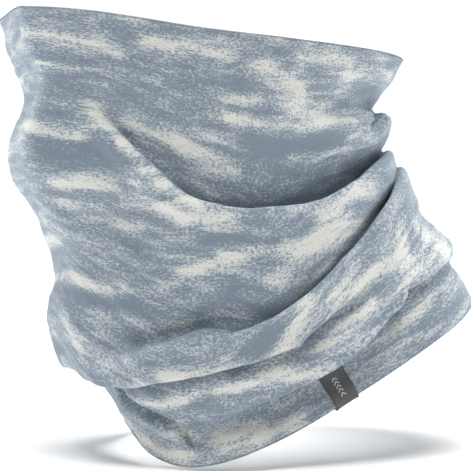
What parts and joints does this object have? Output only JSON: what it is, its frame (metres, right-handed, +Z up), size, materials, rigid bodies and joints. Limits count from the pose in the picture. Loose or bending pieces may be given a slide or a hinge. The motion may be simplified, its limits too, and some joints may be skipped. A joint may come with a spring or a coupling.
{
  "type": "neck gaiter",
  "caption": "Printed jersey tube for neck and face, drawn up over the nose and gathered in soft rolls, with a woven hem tab and a care label inside.",
  "frame": {"origin": "on the axis of the wearer's neck, level with the lowest point of the bottom edge", "axes": "+Z up along the neck, the wearer faces -Y, the wearer's left is +X"},
  "size_m": [0.1688, 0.2344, 0.2135],
  "materials": {
    "jersey": "fine jersey with a brushed two-tone print",
    "sewing_thread": "matt polyester thread",
    "woven_label": "fine damask weave",
    "satin_label": "soft satin"
  },
  "bodies": {
    "gaiter": {"fabric_tube": "jersey", "top_edge_thread": "sewing_thread", "bottom_edge_thread": "sewing_thread", "seam_needle_thread_left": "sewing_thread", "seam_needle_thread_right": "sewing_thread", "seam_looper_thread": "sewing_thread", "hem_label": "woven_label"},
    "care_label_leaf": {"care_label": "satin_label"}
  },
  "joints": [
    {"name": "care_label_turn", "type": "hinge", "parent": "gaiter", "child": "care_label_leaf", "pos_m": [0, 0.08314, 0.18443], "axis": [0, -0.7565, -0.654], "range_deg": [0, 146]}
  ]
}
